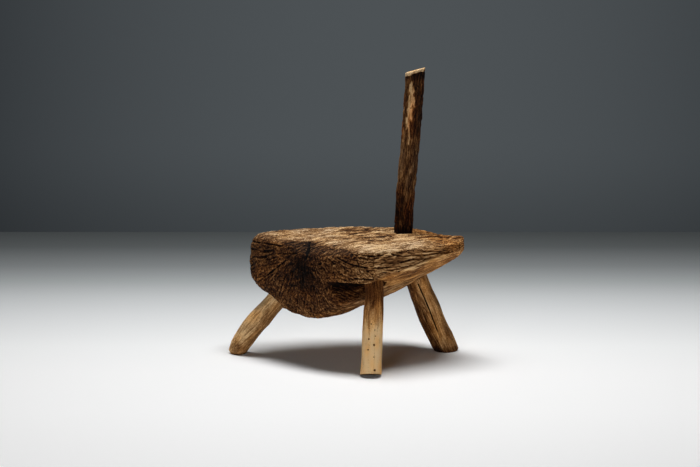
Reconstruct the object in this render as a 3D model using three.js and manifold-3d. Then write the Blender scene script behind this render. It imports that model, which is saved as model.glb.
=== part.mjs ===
// A low three-legged chair of hewn wood. Half of a short, thick log is the seat: its split face is the
// top, its sawn end faces forward, and it is hewn thinner towards the tail. Three sticks driven into
// blind sockets are the legs, and a fourth one, left in its bark, is the back.
// Millimetres, +Z up, floor at z = 0. The sitter faces -Y and their left hand is at +X.

import * as THREE from "three";
import { mergeVertices } from "three/addons/utils/BufferGeometryUtils.js";
import Module from "manifold-3d";

const wasm = await Module();
wasm.setup();

// Seat log. The left side runs straight; all the taper to the tail is on the right.
const SEAT_HEIGHT = 302;
const SEAT_LENGTH = 409;
const FRONT_WIDTH = 380;
const TAIL_WIDTH = 200;
const LOG_DEPTH = 196;
const PITH_DEPTH = 58;
const ROUNDNESS = 2.5;

// Sawn front end, with the pith in the split top, to the left of the middle
const END_SKEW_DEG = 17;
const END_BULGE = 30;
const END_BULGE_SHIFT = 40;
const END_FOLDS = 7;
const END_FOLD_HEIGHT = 2.5;
const PITH_X = 49;

// Round the pith the rim of the sawn end has worn down, in a slope from the top
const WORN_RIM_BACK = 88;
const WORN_RIM_DEPTH = 20;
const WORN_RIM_CENTRE = 64;
const WORN_RIM_WIDTH = 200;

// Worn corners of the front end: the left one upright, the right one only at the top
const LEFT_CORNER_CUT = 20;
const LEFT_CORNER_TURN_DEG = 55;
const RIGHT_CORNER_CUT = [20, 34];

// Tail end, a skewed cut with a corner taken off at the left
const TAIL_SKEW_DEG = 18;
const TAIL_THICKNESS = 28;
const TAIL_CORNER_CUT = 52;

// Width over which each kind of edge is rounded by use and weather
const TOP_WEAR = 22;
const END_WEAR = 30;
const CORNER_WEAR = 50;
const HEWN_WEAR = 12;

// Hewn underside: the keel rises gently, then steeply to the tail, and a facet on each side meets it
const KEEL_START = 60;
const KEEL_RISE_DEG = 14;
const TAIL_RISE_DEG = 40;
const LEFT_LIP_DROP = 47;
const LEFT_FACET_DEG = 36;
const RIGHT_LIP_DROP = 62;
const RIGHT_FACET_DEG = 38;
const FACET_RISE_DEG = 14;

// Notch under the left side. Its flat roof is the ledge that takes the left leg.
const LEDGE_DROP = 86;
const NOTCH_WALL_GAP = 6;
const NOTCH_AHEAD = 110;
const NOTCH_BEHIND = 34;
const NOTCH_TURN_DEG = 10;
const NOTCH_HEIGHT = 46;
const NOTCH_UNDERCUT = 14;

// Sticks: radii at the foot, at the mouth of the socket and at the end of the tenon, and how far each
// one bows between them, towards the tail where it is above zero
const LEFT_FOOT_RADIUS = 26;
const RIGHT_FOOT_RADIUS = 22;
const LEG_MOUTH_RADIUS = 26;
const REAR_LEG_RADIUS = 29;
const TENON_END_RADIUS = 19;
const LEG_TENON = 62;
const LEFT_LEG_BOW = 3;
const RIGHT_LEG_BOW = -17;
const REAR_LEG_BOW = -6;
const POST_RADIUS = 24;
const POST_TENON = 52;
const POST_HEIGHT = 411;
const POST_LEAN_DEG = 4.2;
const POST_BOW = 5;
const SOCKET_CLEARANCE = 0.3;
const STICK_SIDES = 16;
const STICK_RINGS = 18;

// Where each socket opens: in from the nearer side of the log, and back from the front or up from the
// tail. How far each foot stands from its socket in plan.
const LEFT_SOCKET_INSET = 35;
const LEFT_SOCKET_BACK = 130;
const LEFT_SPLAY = [54, -36];
const RIGHT_SOCKET_INSET = 95;
const RIGHT_SOCKET_BACK = 3;
const RIGHT_SPLAY = [-57, -97];
const REAR_SOCKET_INSET = 145;
const REAR_SOCKET_FROM_TAIL = 97;
const REAR_SPLAY = [31, 78];
const POST_INSET = 197;
const POST_FROM_TAIL = 102;

// The edge of a foot that wear has bevelled
const FOOT_BEVEL = 7;

const DEG = Math.PI / 180;
const mix = (a, b, t) => a + (b - a) * t;
const vector = (...coordinates) => new THREE.Vector3(...coordinates);

const weatheredWood = new THREE.MeshStandardMaterial({ color: 0x6a4a30, roughness: 0.92, metalness: 0 });
const leftLegWood = new THREE.MeshStandardMaterial({ color: 0xa67c4c, roughness: 0.8, metalness: 0 });
const rightLegWood = new THREE.MeshStandardMaterial({ color: 0x9c7042, roughness: 0.8, metalness: 0 });
const rearLegWood = new THREE.MeshStandardMaterial({ color: 0x8a623a, roughness: 0.82, metalness: 0 });
const barkWood = new THREE.MeshStandardMaterial({ color: 0x3d2717, roughness: 0.75, metalness: 0 });

// The seat is bounded by functions of a point. Each is negative inside and grows outwards by about one
// for each millimetre.

function halfSpace(normal, through) {
  const n = vector(...normal).normalize();
  const offset = n.dot(vector(...through));
  return (p) => n.dot(p) - offset;
}

// The larger of two distances, with the edge between their surfaces rounded over the width of wear.
function wornMax(a, b, wear) {
  const near = Math.max(wear - Math.abs(a - b), 0) / wear;
  return Math.max(a, b) + (near * near * wear) / 4;
}

const pithHeight = SEAT_HEIGHT - PITH_DEPTH;
const keelLow = SEAT_HEIGHT - LOG_DEPTH;
const leftSide = FRONT_WIDTH / 2;
const taper = (y) => THREE.MathUtils.clamp(y / SEAT_LENGTH, 0, 1) ** 2;
const halfWidth = (y) => mix(FRONT_WIDTH, TAIL_WIDTH, taper(y)) / 2;
const middleX = (y) => leftSide - halfWidth(y);

// The natural round of the log, with the swellings of its growth.
function logSurface(p) {
  const w = halfWidth(p.y);
  const h = LOG_DEPTH - PITH_DEPTH;
  const x = (p.x - middleX(p.y)) / w;
  const z = (p.z - pithHeight) / h;
  const turn = Math.atan2(z, x);
  const broad = 0.016 * Math.sin(3 * turn + 0.6) + 0.01 * Math.sin(5 * turn + p.y / 90);
  const swelling = broad + 0.01 * Math.sin(11 * turn - p.y / 45);
  const reach = (Math.abs(x) ** ROUNDNESS + Math.abs(z) ** ROUNDNESS) ** (1 / ROUNDNESS);
  return (reach - 1 - swelling) * Math.min(w, h);
}

// The sawn end: a skewed plane that bulges, most of all to the right of its middle, in weathered folds
// that spread from the pith.
const endSkew = Math.tan(END_SKEW_DEG * DEG);
const endPlane = halfSpace([endSkew, -1, 0], [0, 0, 0]);
function sawnEnd(p) {
  const x = (p.x + END_BULGE_SHIFT) / leftSide;
  const z = (p.z - pithHeight) / LOG_DEPTH;
  const across = p.x - PITH_X;
  const below = SEAT_HEIGHT - p.z;
  const fade = Math.min(1, Math.hypot(across, below) / pithHeight);
  const folds = fade * Math.sin(2 * END_FOLDS * Math.atan2(below, across));
  return endPlane(p) + END_BULGE * (x * x + z * z - 0.5) + END_FOLD_HEIGHT * folds;
}

// The split top, and the slope from it down to the worn rim.
function top(p) {
  const back = Math.max(1 + endPlane(p) / WORN_RIM_BACK, 0);
  const aside = Math.abs(p.x - WORN_RIM_CENTRE) / (WORN_RIM_WIDTH / 2);
  const slope = back ** 1.6 * (1 - THREE.MathUtils.smoothstep(aside, 0.5, 1));
  return p.z - SEAT_HEIGHT + WORN_RIM_DEPTH * slope;
}

// A hewn facet of the underside. It leaves the log at a lip below the top, on the side that side
// names, slopes down to the keel, and rises towards the tail.
function underFacet(side, lipDrop, slopeDeg) {
  const slope = slopeDeg * DEG;
  const y = SEAT_LENGTH * 0.6;
  const rise = Math.tan(FACET_RISE_DEG * DEG);
  const normal = [side * Math.sin(slope), rise * Math.cos(slope), -Math.cos(slope)];
  return halfSpace(normal, [middleX(y) + side * halfWidth(y), y, SEAT_HEIGHT - lipDrop]);
}

const rising = (deg) => [0, Math.sin(deg * DEG), -Math.cos(deg * DEG)];
const facing = (deg, lift) => [Math.sin(deg * DEG), -Math.cos(deg * DEG), lift];
const leftCorner = [leftSide - LEFT_CORNER_CUT, leftSide * endSkew, 0];
const rightCorner = [RIGHT_CORNER_CUT[0] - leftSide, -RIGHT_CORNER_CUT[1], SEAT_HEIGHT];
const tailEdge = [middleX(SEAT_LENGTH), SEAT_LENGTH, SEAT_HEIGHT - TAIL_THICKNESS];
const tailCorner = [leftSide, SEAT_LENGTH - TAIL_CORNER_CUT, 0];
const boundary = [
  { cut: halfSpace(rising(KEEL_RISE_DEG), [0, KEEL_START, keelLow]), wear: HEWN_WEAR },
  { cut: halfSpace(rising(TAIL_RISE_DEG), tailEdge), wear: CORNER_WEAR },
  { cut: underFacet(1, LEFT_LIP_DROP, LEFT_FACET_DEG), wear: HEWN_WEAR },
  { cut: underFacet(-1, RIGHT_LIP_DROP, RIGHT_FACET_DEG), wear: HEWN_WEAR * 2 },
  { cut: sawnEnd, wear: END_WEAR },
  { cut: halfSpace(facing(LEFT_CORNER_TURN_DEG, 0), leftCorner), wear: CORNER_WEAR },
  { cut: halfSpace([-0.65, -0.5, 0.57], rightCorner), wear: END_WEAR },
  { cut: halfSpace(facing(180 + TAIL_SKEW_DEG, 0.05), tailEdge), wear: TOP_WEAR },
  { cut: halfSpace([0.75, 0.66, 0], tailCorner), wear: END_WEAR },
  { cut: top, wear: TOP_WEAR },
];
const seatDistance = (p) =>
  boundary.reduce((inside, { cut, wear }) => wornMax(inside, cut(p), wear), logSurface(p));

// How far a point can go from start along the direction before it leaves the seat.
function reachInSeat(start, direction) {
  const p = vector();
  let inner = 0;
  let outer = FRONT_WIDTH + SEAT_LENGTH;
  for (let halving = 0; halving < 26; halving++) {
    const reach = (inner + outer) / 2;
    p.copy(start).addScaledVector(direction, reach);
    if (seatDistance(p) < 0) inner = reach;
    else outer = reach;
  }
  return inner;
}

// The whole log, before its notch and sockets: the faces of a box, whose points start on a core line
// through the log and move out until they leave the seat. They crowd towards the edges of the box,
// which lie on the rims of the two ends.
const CORE_INSET = 46;
const SEAT_GRID = [26, 32, 18];
function wholeLog() {
  const box = new THREE.BoxGeometry(2, 2, 2, ...SEAT_GRID);
  box.deleteAttribute("normal");
  box.deleteAttribute("uv");
  const grid = mergeVertices(box);
  const points = grid.getAttribute("position");
  const crowded = (c) => Math.sin(c * 1.2) / Math.sin(1.2);
  const frontCore = vector(0, CORE_INSET, (SEAT_HEIGHT + keelLow) / 2);
  const tailCore = vector(middleX(SEAT_LENGTH), SEAT_LENGTH - CORE_INSET, SEAT_HEIGHT - TAIL_THICKNESS / 2);
  const start = vector();
  const direction = vector();
  for (let i = 0; i < points.count; i++) {
    const [x, y, z] = [points.getX(i), points.getY(i), points.getZ(i)].map(crowded);
    const t = (y + 1) / 2;
    const sideways = x * mix(FRONT_WIDTH, TAIL_WIDTH, t) * 0.5;
    const upwards = z * mix(LOG_DEPTH, TAIL_THICKNESS, t) * 0.5;
    start.lerpVectors(frontCore, tailCore, t);
    direction.set(sideways, y * CORE_INSET + sideways * endSkew, upwards).normalize();
    start.addScaledVector(direction, reachInSeat(start, direction));
    points.setXYZ(i, start.x, start.y, start.z);
  }
  return grid;
}

// A stick along a bowed line from its foot, or upper end, to the end of its tenon, shaved by hand: flats
// wander round it and fade out towards the mouth of its socket. grow makes the socket of a stick.
function stick({ start, mouth, end, bow, radii, flats, seed }, grow) {
  const axis = vector().subVectors(end, start);
  const length = axis.length();
  const toMouth = start.distanceTo(mouth);
  axis.normalize();
  const across = vector(0, 1, 0).cross(axis).normalize();
  const other = vector().crossVectors(axis, across);
  const radiusAt = (distance) =>
    distance < toMouth
      ? mix(radii[0], radii[1], distance / toMouth)
      : mix(radii[1], radii[2], (distance - toMouth) / (length - toMouth));
  const points = [];
  const push = (distance, radius, turn) => {
    const t = THREE.MathUtils.clamp(distance / toMouth, 0, 1);
    const p = start.clone().addScaledVector(axis, distance);
    p.addScaledVector(other, bow * Math.sin(Math.PI * t) ** 2 + radius * Math.sin(turn));
    p.addScaledVector(across, radius * Math.cos(turn));
    points.push(p.x, p.y, p.z);
  };
  for (let i = 0; i <= STICK_RINGS; i++) {
    const distance = mix(-grow, length + grow, i / STICK_RINGS);
    const rough = 1 - THREE.MathUtils.smoothstep(distance, toMouth - 50, toMouth - 8);
    for (let j = 0; j < STICK_SIDES; j++) {
      const turn = (j / STICK_SIDES) * 2 * Math.PI;
      const shaving =
        Math.sin(3 * turn + seed + distance / 75) * 0.5 +
        Math.sin(2 * turn - seed * 2 + distance / 120) * 0.35 +
        Math.sin(5 * turn + seed * 3) * 0.15;
      push(distance, radiusAt(distance) + grow + flats * rough * shaving, turn);
    }
  }
  push(-grow, 0, 0);
  push(length + grow, 0, 0);
  const firstCap = (STICK_RINGS + 1) * STICK_SIDES;
  const last = STICK_RINGS * STICK_SIDES;
  const index = [];
  for (let j = 0; j < STICK_SIDES; j++) {
    const k = (j + 1) % STICK_SIDES;
    for (let i = 0; i < STICK_RINGS; i++) {
      const [near, far] = [i * STICK_SIDES, (i + 1) * STICK_SIDES];
      index.push(near + j, near + k, far + k, near + j, far + k, far + j);
    }
    index.push(firstCap, k, j, firstCap + 1, last + j, last + k);
  }
  const geometry = new THREE.BufferGeometry();
  geometry.setAttribute("position", new THREE.Float32BufferAttribute(points, 3));
  return solidOf(geometry.setIndex(index));
}

function solidOf(geometry) {
  const bare = geometry.clone();
  bare.deleteAttribute("normal");
  bare.deleteAttribute("uv");
  const merged = mergeVertices(bare, 1e-4);
  return new wasm.Manifold(
    new wasm.Mesh({
      numProp: 3,
      vertProperties: new Float32Array(merged.getAttribute("position").array),
      triVerts: new Uint32Array(merged.index.array),
    }),
  );
}

function meshOf(name, solid, material) {
  const { vertProperties, triVerts, numProp } = solid.getMesh();
  const positions = new Float32Array((vertProperties.length / numProp) * 3);
  for (let i = 0; i < positions.length / 3; i++) {
    positions.set(vertProperties.subarray(i * numProp, i * numProp + 3), i * 3);
  }
  const geometry = new THREE.BufferGeometry();
  geometry.setAttribute("position", new THREE.BufferAttribute(positions, 3));
  geometry.setIndex(new THREE.BufferAttribute(new Uint32Array(triVerts), 1));
  geometry.computeVertexNormals();
  const mesh = new THREE.Mesh(geometry, material);
  mesh.name = name;
  return mesh;
}

// Everything beyond a plane, as a block large enough to trim one stick.
function beyond(point, normal) {
  const size = SEAT_HEIGHT + POST_HEIGHT;
  const block = new THREE.BoxGeometry(size, size, size);
  block.translate(0, 0, size / 2);
  const turn = new THREE.Quaternion().setFromUnitVectors(vector(0, 0, 1), vector(...normal).normalize());
  block.applyQuaternion(turn);
  block.translate(...point);
  return solidOf(block);
}

// A leg from below the floor, where it is trimmed, up into its socket.
function legLayout([x, y], splay, mouthHeight, footRadius, mouthRadius, bow, seed) {
  const foot = vector(x + splay[0], y + splay[1], 0);
  const mouth = vector(x, y, mouthHeight);
  const axis = vector().subVectors(mouth, foot).normalize();
  const start = foot.clone().addScaledVector(axis, -footRadius * 1.5);
  const end = mouth.clone().addScaledVector(axis, LEG_TENON);
  const radii = [footRadius, mouthRadius, TENON_END_RADIUS];
  return { foot, start, mouth, end, bow, radii, flats: 2.2, seed };
}

// The leg, cut level with the floor and bevelled at the edge of its foot that faces bevelSide.
function leg(layout, bevelSide) {
  const outwards = vector(bevelSide[0], bevelSide[1], 0).normalize();
  const edge = layout.foot.clone().addScaledVector(outwards, layout.radii[0] - FOOT_BEVEL);
  const bevel = beyond(edge.toArray(), [outwards.x, outwards.y, -1.2]);
  return stick(layout, 0).subtract(beyond(layout.foot.toArray(), [0, 0, -1])).subtract(bevel);
}

// How high the underside is above the floor at a place in plan.
function undersideHeight([x, y]) {
  const start = vector(x, y, SEAT_HEIGHT - TAIL_THICKNESS / 2);
  return start.z - reachInSeat(start, vector(0, 0, -1));
}

const ledgeHeight = SEAT_HEIGHT - LEDGE_DROP;
const leftSocket = [leftSide - LEFT_SOCKET_INSET, LEFT_SOCKET_BACK];
const rightSocket = [RIGHT_SOCKET_INSET - leftSide, RIGHT_SOCKET_BACK];
const rearSocket = [leftSide - REAR_SOCKET_INSET, SEAT_LENGTH - REAR_SOCKET_FROM_TAIL];
const leftLeg = legLayout(
  leftSocket,
  LEFT_SPLAY,
  ledgeHeight,
  LEFT_FOOT_RADIUS,
  LEG_MOUTH_RADIUS,
  LEFT_LEG_BOW,
  0.4,
);
const rightLeg = legLayout(
  rightSocket,
  RIGHT_SPLAY,
  undersideHeight(rightSocket),
  RIGHT_FOOT_RADIUS,
  LEG_MOUTH_RADIUS,
  RIGHT_LEG_BOW,
  2.1,
);
const rearLeg = legLayout(
  rearSocket,
  REAR_SPLAY,
  undersideHeight(rearSocket),
  REAR_LEG_RADIUS,
  REAR_LEG_RADIUS,
  REAR_LEG_BOW,
  4.2,
);

// The back leans towards the tail, bows a little and ends in a slanting cut.
const postFoot = [leftSide - POST_INSET, SEAT_LENGTH - POST_FROM_TAIL];
const postLean = Math.tan(POST_LEAN_DEG * DEG);
const postAt = (height) => vector(postFoot[0], postFoot[1] + height * postLean, SEAT_HEIGHT + height);
const post = {
  start: postAt(POST_HEIGHT + POST_RADIUS),
  mouth: postAt(0),
  end: postAt(-POST_TENON),
  bow: POST_BOW,
  radii: [POST_RADIUS, POST_RADIUS, TENON_END_RADIUS],
  flats: 1.8,
  seed: 1.3,
};
const postTop = beyond(postAt(POST_HEIGHT).toArray(), [-0.2, -0.22, 1]);

// The notch: a flat roof, and a back wall that comes forward below it to meet the left facet.
function notch() {
  const profile = new THREE.Shape([
    new THREE.Vector2(0, 0),
    new THREE.Vector2(NOTCH_UNDERCUT, -NOTCH_HEIGHT),
    new THREE.Vector2(FRONT_WIDTH, -NOTCH_HEIGHT),
    new THREE.Vector2(FRONT_WIDTH, 0),
  ]);
  const depth = NOTCH_AHEAD + NOTCH_BEHIND;
  const cutter = new THREE.ExtrudeGeometry(profile, { depth, bevelEnabled: false });
  cutter.rotateX(Math.PI / 2);
  cutter.translate(-LEG_MOUTH_RADIUS - NOTCH_WALL_GAP, NOTCH_BEHIND, 0);
  cutter.rotateZ(-NOTCH_TURN_DEG * DEG);
  cutter.translate(leftSocket[0], leftSocket[1], ledgeHeight);
  return solidOf(cutter);
}

const seat = [leftLeg, rightLeg, rearLeg, post].reduce(
  (block, layout) => block.subtract(stick(layout, SOCKET_CLEARANCE)),
  solidOf(wholeLog()).subtract(notch()),
);

const chair = new THREE.Group();
chair.add(
  meshOf("seat_block", seat, weatheredWood),
  meshOf("front_leg_left", leg(leftLeg, LEFT_SPLAY), leftLegWood),
  meshOf("front_leg_right", leg(rightLeg, RIGHT_SPLAY), rightLegWood),
  meshOf("rear_leg", leg(rearLeg, REAR_SPLAY), rearLegWood),
  meshOf("back_post", stick(post, 0).subtract(postTop), barkWood),
);

// The origin is on the floor, under the middle of the whole chair.
const centre = new THREE.Box3().setFromObject(chair).getCenter(vector());
chair.position.set(-centre.x, -centre.y, 0);

export default chair;
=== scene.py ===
"""The finish of a low chair: half a log, hewn and weathered, on three stick legs, with a bark-covered back.

Every length is in metres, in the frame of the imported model: +X to the sitter's left, +Y towards the
tail and the back, +Z up. The seat and the sticks are fine, even copies of their solids, worn along
their own grain by smooth noise.
"""

import math

import bmesh
import bpy
import numpy as np
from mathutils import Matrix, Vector


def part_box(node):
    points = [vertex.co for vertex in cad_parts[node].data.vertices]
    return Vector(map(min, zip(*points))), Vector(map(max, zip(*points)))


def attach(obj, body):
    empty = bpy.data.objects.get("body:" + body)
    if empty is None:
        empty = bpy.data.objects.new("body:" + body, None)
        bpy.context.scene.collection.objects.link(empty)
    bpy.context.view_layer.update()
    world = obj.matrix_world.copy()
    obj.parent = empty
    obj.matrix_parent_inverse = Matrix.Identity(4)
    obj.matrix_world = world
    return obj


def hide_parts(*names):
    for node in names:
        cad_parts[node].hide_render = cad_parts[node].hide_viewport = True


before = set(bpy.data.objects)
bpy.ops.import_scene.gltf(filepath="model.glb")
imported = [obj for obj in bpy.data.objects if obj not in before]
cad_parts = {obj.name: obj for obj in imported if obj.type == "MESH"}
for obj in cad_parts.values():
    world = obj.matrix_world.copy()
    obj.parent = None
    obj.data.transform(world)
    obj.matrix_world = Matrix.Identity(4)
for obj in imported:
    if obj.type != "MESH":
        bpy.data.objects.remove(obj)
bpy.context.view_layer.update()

SEAT_LOW, SEAT_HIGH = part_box("seat_block")
TOP = SEAT_HIGH.z


def srgb(red, green, blue):
    """A colour written as the screen shows it, from 0 to 255, as linear light."""
    shares = (np.array([red, green, blue]) / 255).tolist()
    return tuple(c / 12.92 if c <= 0.04045 else ((c + 0.055) / 1.055) ** 2.4 for c in shares) + (1.0,)


# Camera: where the photograph was taken from.
VIEW_AZIMUTH = math.radians(62)
VIEW_CENTRE = Vector((0.044, -0.0375, 0.0))
VIEW_DISTANCE = 4.0
VIEW_HEIGHT = 1.0345
VIEW_PITCH = math.radians(10.05)
LENS_MM = 85
SENSOR_MM = 36
# Level and to the left, seen from the camera.
LEFTWARD = -np.array([math.cos(VIEW_AZIMUTH), math.sin(VIEW_AZIMUTH), 0.0])

# Floor: where its painted falloff of light begins and ends, before and behind the chair, and how far it
# reaches itself.
FLOOR_AHEAD = 0.80
FLOOR_BEHIND = 1.87
FLOOR_REACH = 6.0
FLOOR_ROUGHNESS = 0.9
# Painted falloff of light: greys of the floor, from its nearest part to its far edge.
FLOOR_PAINTED_FALLOFF = (
    (0.00, srgb(255, 255, 255)),
    (0.11, srgb(254, 254, 254)),
    (0.24, srgb(249, 249, 249)),
    (0.34, srgb(241, 242, 242)),
    (0.48, srgb(217, 219, 220)),
    (0.57, srgb(196, 199, 200)),
    (0.65, srgb(166, 170, 171)),
    (0.74, srgb(134, 138, 139)),
    (0.87, srgb(97, 101, 102)),
    (1.00, srgb(79, 83, 84)),
)

# Wall: slate, lighter behind the chair and darker at its foot. It is as far off as the sky, so its
# places are directions: how far each one points to the right, or up. WALL_SIDES_SQUARED is the square
# of how far to either side of its middle the wall has the shade of its sides.
WALL_MIDDLE = srgb(77, 82, 85)
WALL_SIDES = srgb(54, 58, 61)
WALL_MIDDLE_RIGHT = 0.027
WALL_SIDES_SQUARED = 0.056
WALL_FOOT_SHADE = (0.66, 0.66, 0.66, 1)
WALL_FOOT_LOW = -0.190
WALL_FOOT_HIGH = -0.115
WORLD_LIGHT = 0.015

# Lamps: power in watts, size, and place as steps ahead of the chair, to its right, and up.
OVERHEAD_WATTS = 94
OVERHEAD_WIDTH = 1.9
OVERHEAD_DEPTH = 0.65
OVERHEAD_PLACE = (0.33, 0.05, 3.0)
OVERHEAD_TURN = math.radians(28)
FRONT_WATTS = 6.9
FRONT_SIZE = 1.0
FRONT_PLACE = (-3.2, -0.98, 0.8)
FRONT_SPREAD = math.radians(100)


def plan_direction(ahead, right):
    """A direction on the floor from steps ahead, away from the camera, and to its right."""
    forward = Vector((-math.sin(VIEW_AZIMUTH), math.cos(VIEW_AZIMUTH), 0))
    sideways = Vector((math.cos(VIEW_AZIMUTH), math.sin(VIEW_AZIMUTH), 0))
    return forward * ahead + sideways * right


# Noise
ORDER = np.random.default_rng(4).permutation(256)
SEED_SHIFT = 17.31
FLAKE_EDGE = 0.72
STEPS = (-1, 0, 1)
SLOPES = np.array([
    [x, y, z] for x in STEPS for y in STEPS for z in STEPS if abs(x) + abs(y) + abs(z) == 2
])


def noise(points, seed=0):
    """Smooth noise between -1 and 1, with about one swelling in each unit of length."""
    points = points + seed * SEED_SHIFT
    cell = np.floor(points).astype(int)
    part = points - cell
    fade = part**3 * (part * (part * 6 - 15) + 10)
    total = np.zeros(len(points))
    for corner in np.ndindex(2, 2, 2):
        x, y, z = ((cell + corner) & 255).T
        slope = SLOPES[ORDER[(ORDER[(ORDER[x] + y) & 255] + z) & 255] % len(SLOPES)]
        share = np.prod(np.where(corner, fade, 1 - fade), axis=1)
        total += share * ((part - corner) * slope).sum(axis=1)
    return total


def layered(points, seed=0, layers=3):
    """Noise with finer and finer detail."""
    return sum(noise(points * 2**i, seed + i) / 2**i for i in range(layers))


def smooth(low, high, values):
    """0 below low, 1 above high, and an easy rise between them; with low above high, the reverse."""
    t = np.clip((values - low) / (high - low), 0, 1)
    return t * t * (3 - 2 * t)


def lines(points, seed, width):
    """1 along thin winding lines, and 0 away from them."""
    return smooth(width, 0, np.abs(noise(points, seed)))


def flakes(points, seed, steps):
    """Flat levels with sharp steps between them, from -1 to 1."""
    level = noise(points, seed) * steps
    return (np.floor(level) + smooth(FLAKE_EDGE, 1, level - np.floor(level))) / steps


def line_distance(points, path):
    """Each point's distance from a line through the points of path."""
    nearest = np.full(len(points), np.inf)
    for start, end in zip(np.array(path[:-1], float), np.array(path[1:], float)):
        along = end - start
        t = np.clip((points - start) @ along / (along @ along), 0, 1)
        nearest = np.minimum(nearest, np.linalg.norm(points - start - t[:, None] * along, axis=1))
    return nearest


def long_axis(points):
    """The middle of some points, and the direction in which they reach furthest."""
    middle = points.mean(axis=0)
    return middle, np.linalg.svd(points - middle, full_matrices=False)[2][0]


# Meshes
WELD_DISTANCE = 1e-6


def fine_copy(node, name, cell, relax):
    """An even, fine mesh of a CAD node's solid, with its facets smoothed away."""
    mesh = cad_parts[node].data.copy()
    welded = bmesh.new()
    welded.from_mesh(mesh)
    bmesh.ops.remove_doubles(welded, verts=welded.verts, dist=WELD_DISTANCE)
    welded.to_mesh(mesh)
    welded.free()
    piece = bpy.data.objects.new(name, mesh)
    bpy.context.scene.collection.objects.link(piece)
    remesh = piece.modifiers.new("even", "REMESH")
    remesh.mode = "VOXEL"
    remesh.voxel_size = cell
    evaluated = piece.evaluated_get(bpy.context.evaluated_depsgraph_get())
    fine = bpy.data.meshes.new_from_object(evaluated)
    piece.modifiers.clear()
    piece.data = fine
    fine.name = name
    fine.materials.clear()
    fine.attributes.active_color = None
    move(piece, relaxed(places(piece), edges(piece), relax))
    fine.shade_smooth()
    return piece


def places(piece):
    """Where each vertex is."""
    co = np.empty(len(piece.data.vertices) * 3, np.float32)
    piece.data.vertices.foreach_get("co", co)
    return co.reshape(-1, 3).astype(float)


def edges(piece):
    """The two vertices of each edge."""
    pairs = np.empty(len(piece.data.edges) * 2, np.int32)
    piece.data.edges.foreach_get("vertices", pairs)
    return pairs.reshape(-1, 2)


def normals(piece):
    """Which way the surface faces at each vertex."""
    n = np.empty(len(piece.data.vertices) * 3, np.float32)
    piece.data.vertex_normals.foreach_get("vector", n)
    return n.reshape(-1, 3).astype(float)


def move(piece, points):
    """Puts each vertex at its new place."""
    piece.data.vertices.foreach_set("co", points.astype(np.float32).ravel())
    piece.data.update()


def relaxed(values, pairs, times):
    """Each vertex's values, drawn towards the mean of its neighbours' a number of times."""
    count = np.bincount(pairs.ravel(), minlength=len(values))[:, None]
    for _ in range(times):
        total = np.stack([
            np.bincount(pairs[:, 0], column[pairs[:, 1]], len(values))
            + np.bincount(pairs[:, 1], column[pairs[:, 0]], len(values))
            for column in values.T
        ], axis=1)
        values = (values + total / count) / 2
    return values


def mark(piece, name, values):
    """Gives each vertex a number or a vector that the material reads by name."""
    single = values.ndim == 1
    attribute = piece.data.attributes.new(name, "FLOAT" if single else "FLOAT_VECTOR", "POINT")
    attribute.data.foreach_set("value" if single else "vector", values.astype(np.float32).ravel())


def sunk(piece, times):
    """How far each vertex lies below the ground round it: few times for fine hollows, many for broad ones."""
    co = places(piece)
    return ((relaxed(co, edges(piece), times) - co) * normals(piece)).sum(axis=1)


# Times of relaxing that find fine and broad hollows.
HOLLOW_TIMES = (3, 24)


def painted_hollow_shade(piece, hollows):
    """Painted shade and painted highlight: how much darker each vertex is in fine and broad hollows, and
    paler on ridges.

    For the fine and for the broad ones, hollows gives their usual depth, the least that they count for,
    which a ridge reaches, and their weight in the tone.
    """
    shade = 0
    for times, (depth, ridge, weight) in zip(HOLLOW_TIMES, hollows):
        shade = shade + weight * np.clip(sunk(piece, times) / depth, ridge, 1)
    return shade


# Materials
class Nodes:
    """A node tree whose nodes are added by short calls. Values are node outputs, numbers or colours."""

    def __init__(self, tree):
        self.tree = tree

    def add(self, kind, inputs, output, **settings):
        node = self.tree.nodes.new(kind)
        for key, value in settings.items():
            setattr(node, key, value)
        for key, value in inputs.items():
            if isinstance(value, bpy.types.NodeSocket):
                self.tree.links.new(value, node.inputs[key])
            else:
                node.inputs[key].default_value = value
        return node.outputs[output] if output is not None else None

    def number(self, name):
        return self.add("ShaderNodeAttribute", {}, "Fac", attribute_name=name)

    def vector(self, name):
        return self.add("ShaderNodeAttribute", {}, "Vector", attribute_name=name)

    def scaled(self, place, factors):
        return self.add("ShaderNodeMapping", {"Vector": place, "Scale": factors}, "Vector")

    def along(self, place, direction):
        """How far a place lies in a direction."""
        inputs = {0: place, 1: direction}
        return self.add("ShaderNodeVectorMath", inputs, "Value", operation="DOT_PRODUCT")

    def noise(self, place, scale, detail, roughness):
        inputs = {"Vector": place, "Scale": scale, "Detail": detail, "Roughness": roughness}
        return self.add("ShaderNodeTexNoise", inputs, "Fac")

    def span(self, value, low, high, interpolation="SMOOTHSTEP"):
        """0 at low, 1 at high, and a rise between them."""
        inputs = {"Value": value, "From Min": low, "From Max": high}
        return self.add("ShaderNodeMapRange", inputs, "Result", interpolation_type=interpolation)

    def maths(self, operation, first, second):
        return self.add("ShaderNodeMath", {0: first, 1: second}, "Value", operation=operation)

    def mix(self, share, first, second, blend="MIX"):
        inputs = {"Factor": share, 6: first, 7: second}
        return self.add("ShaderNodeMix", inputs, 2, data_type="RGBA", blend_type=blend)

    def ramp(self, value, stops):
        """The colour that the stops, each a position and a colour, give for a value."""
        colour = self.add("ShaderNodeValToRGB", {"Fac": value}, "Color")
        elements = colour.node.color_ramp.elements
        while len(elements) < len(stops):
            elements.new(0.5)
        for element, (position, shade) in zip(elements, stops):
            element.position = position
            element.color = shade
        return colour


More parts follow.
